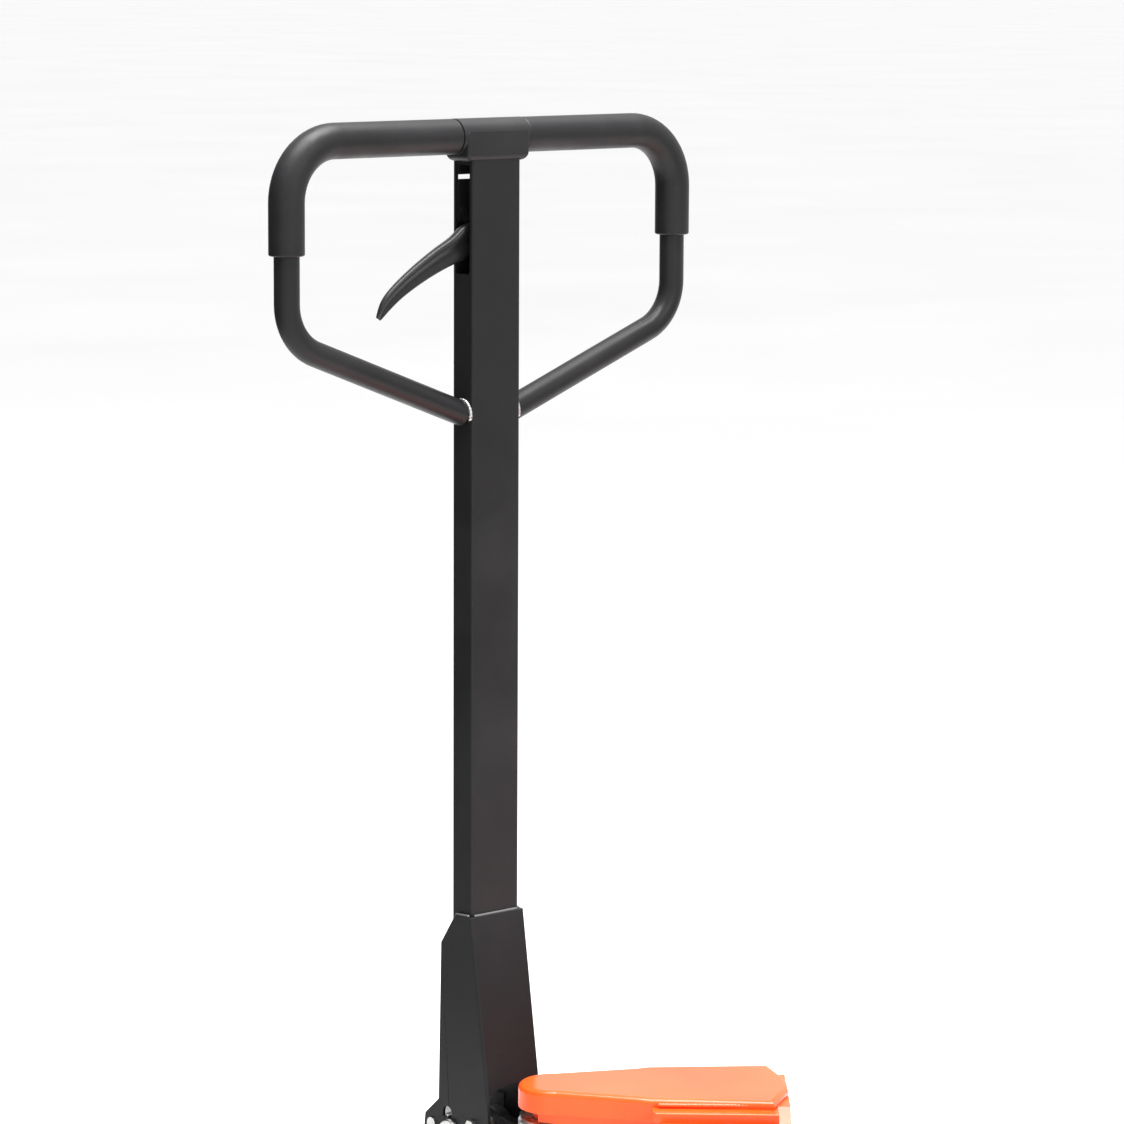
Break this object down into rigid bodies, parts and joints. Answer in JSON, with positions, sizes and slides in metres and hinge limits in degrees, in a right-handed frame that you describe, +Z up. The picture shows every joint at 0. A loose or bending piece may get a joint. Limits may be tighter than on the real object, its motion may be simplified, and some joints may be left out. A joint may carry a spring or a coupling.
{
  "type": "pallet truck",
  "caption": "Hand pallet truck with orange forks, a steered hydraulic pump unit and a tall black draw bar with a closed loop handle and finger lever.",
  "frame": {"origin": "on the floor, midway along the truck and midway between the forks", "axes": "+X towards the fork tips, +Z up"},
  "size_m": [1.5063, 0.545, 1.1761],
  "materials": {
    "black_paint": "semi-gloss powder coat",
    "grip_vinyl": "fine matt sleeve",
    "orange_paint": "gloss powder coat",
    "pump_paint": "semi-gloss",
    "chrome": "hard chrome",
    "zinc": "bright zinc plate",
    "bearing_steel": "ground steel, lightly oiled",
    "tyre": "cast polyurethane",
    "hub_iron": "painted cast iron",
    "nylon": "nylon"
  },
  "bodies": {
    "frame": {"fork_near": "orange_paint", "fork_far": "orange_paint", "bulkhead": "orange_paint", "crown_plate": "orange_paint", "crown_cheeks": "orange_paint", "side_ledges": "orange_paint", "side_pressings": "orange_paint", "lift_ram": "chrome", "ram_seat": "orange_paint", "rocker_brackets": "orange_paint", "heel_gussets": "orange_paint", "leg_pivot_pins": "zinc", "pivot_screws": "zinc", "entry_axles": "zinc"},
    "carrier": {"swivel_ring": "pump_paint", "swivel_race": "bearing_steel"},
    "pump": {"pump_cylinder": "pump_paint", "gland_nut": "zinc", "pump_housing": "pump_paint", "pivot_bracket": "pump_paint", "pump_base": "pump_paint", "steer_axle": "zinc", "axle_collars": "zinc", "drop_valve": "zinc", "valve_lever": "zinc", "filler_plugs": "zinc", "wheel_bearings": "bearing_steel", "handle_pivot_shaft": "zinc", "pivot_caps": "zinc"},
    "handle": {"handle_tube": "black_paint", "handle_loop": "black_paint", "grip_sleeves": "grip_vinyl", "head_saddle": "black_paint", "handle_base": "black_paint", "base_bolts": "zinc", "lever_pin": "zinc", "roller_axle": "zinc"},
    "press_roller": {"pressure_roller": "bearing_steel"},
    "lever": {"finger_lever": "black_paint"},
    "pull": {"release_pull_rod": "zinc", "release_chain": "zinc"},
    "plunger": {"pump_plunger": "chrome", "plunger_spring": "bearing_steel"},
    "steer_wheel_near": {"steer_tyre_near": "tyre", "steer_hub_near": "hub_iron"},
    "steer_wheel_far": {"steer_tyre_far": "tyre", "steer_hub_far": "hub_iron"},
    "rocker": {"rocker_shaft": "orange_paint"},
    "rods": {"push_rods": "orange_paint"},
    "leg_arm_near": {"leg_near": "orange_paint", "roller_axle_near": "zinc"},
    "leg_arm_far": {"leg_far": "orange_paint", "roller_axle_far": "zinc"},
    "load_roller_near": {"load_roller_tread_near": "tyre", "load_roller_core_near": "hub_iron"},
    "load_roller_far": {"load_roller_tread_far": "tyre", "load_roller_core_far": "hub_iron"},
    "tip_roller_near": {"entry_roller_near": "nylon"},
    "tip_roller_far": {"entry_roller_far": "nylon"}
  },
  "joints": [
    {"name": "lift", "type": "slide", "parent": "frame", "child": "carrier", "axis": [0, 0, -1], "range_m": [0, 0.115]},
    {"name": "steer", "type": "hinge", "parent": "carrier", "child": "pump", "pos_m": [-0.53184, 0, 0.195], "axis": [0, 0, 1], "range_deg": [-41.6, 138.4]},
    {"name": "handle_tilt", "type": "hinge", "parent": "pump", "child": "handle", "pos_m": [-0.59558, 0.07179, 0.354], "axis": [-0.7478, -0.6639, 0], "range_deg": [0, 80], "stiffness_Nm_per_rad": 25, "springref_deg": -20.05},
    {"name": "press_roller_spin", "type": "hinge", "parent": "handle", "child": "press_roller", "pos_m": [-0.61151, 0.08974, 0.359], "axis": [0.7478, 0.6639, 0], "continuous": true},
    {"name": "finger_lever_swing", "type": "hinge", "parent": "handle", "child": "lever", "pos_m": [-0.58512, 0.06904, 1.082], "axis": [-0.6639, 0.7478, 0], "range_deg": [-12, 15], "stiffness_Nm_per_rad": 0.6},
    {"name": "pull_rod_travel", "type": "slide", "parent": "handle", "child": "pull", "axis": [0, 0, 1], "range_m": [-0.0035, 0.0045]},
    {"name": "plunger_stroke", "type": "slide", "parent": "pump", "child": "plunger", "axis": [0, 0, -1], "range_m": [0, 0.0345], "deforming": ["plunger_spring"]},
    {"name": "steer_wheel_near_spin", "type": "hinge", "parent": "pump", "child": "steer_wheel_near", "pos_m": [-0.57372, -0.03718, 0.086], "axis": [0.7478, 0.6639, 0], "continuous": true},
    {"name": "steer_wheel_far_spin", "type": "hinge", "parent": "pump", "child": "steer_wheel_far", "pos_m": [-0.48996, 0.03718, 0.086], "axis": [0.7478, 0.6639, 0], "continuous": true},
    {"name": "rocker_swing", "type": "hinge", "parent": "frame", "child": "rocker", "pos_m": [-0.38184, 0, 0.098], "axis": [0, -1, 0], "range_deg": [0, 55.6]},
    {"name": "rod_travel", "type": "slide", "parent": "frame", "child": "rods", "axis": [1, 0, 0], "range_m": [0, 0.0278]},
    {"name": "leg_swing_near", "type": "hinge", "parent": "frame", "child": "leg_arm_near", "pos_m": [0.46816, -0.19, 0.044], "axis": [0, 1, 0], "range_deg": [0, 53]},
    {"name": "load_roller_near_spin", "type": "hinge", "parent": "leg_arm_near", "child": "load_roller_near", "pos_m": [0.61616, -0.19, 0.037], "axis": [0, 1, 0], "continuous": true},
    {"name": "tip_roller_near_spin", "type": "hinge", "parent": "frame", "child": "tip_roller_near", "pos_m": [0.67316, -0.19, 0.044], "axis": [0, 1, 0], "continuous": true},
    {"name": "leg_swing_far", "type": "hinge", "parent": "frame", "child": "leg_arm_far", "pos_m": [0.46816, 0.19, 0.044], "axis": [0, 1, 0], "range_deg": [0, 53]},
    {"name": "load_roller_far_spin", "type": "hinge", "parent": "leg_arm_far", "child": "load_roller_far", "pos_m": [0.61616, 0.19, 0.037], "axis": [0, 1, 0], "continuous": true},
    {"name": "tip_roller_far_spin", "type": "hinge", "parent": "frame", "child": "tip_roller_far", "pos_m": [0.67316, 0.19, 0.044], "axis": [0, 1, 0], "continuous": true}
  ],
  "couplings": [
    {"joint": "pull_rod_travel", "follows": "finger_lever_swing", "m_per_rad": 0.016},
    {"joint": "plunger_stroke", "follows": "handle_tilt", "m_per_rad": 0.0245},
    {"joint": "rocker_swing", "follows": "lift", "rad_per_m": 8.408},
    {"joint": "rod_travel", "follows": "lift", "ratio": 0.24},
    {"joint": "leg_swing_near", "follows": "lift", "rad_per_m": 8},
    {"joint": "leg_swing_far", "follows": "lift", "rad_per_m": 8}
  ]
}
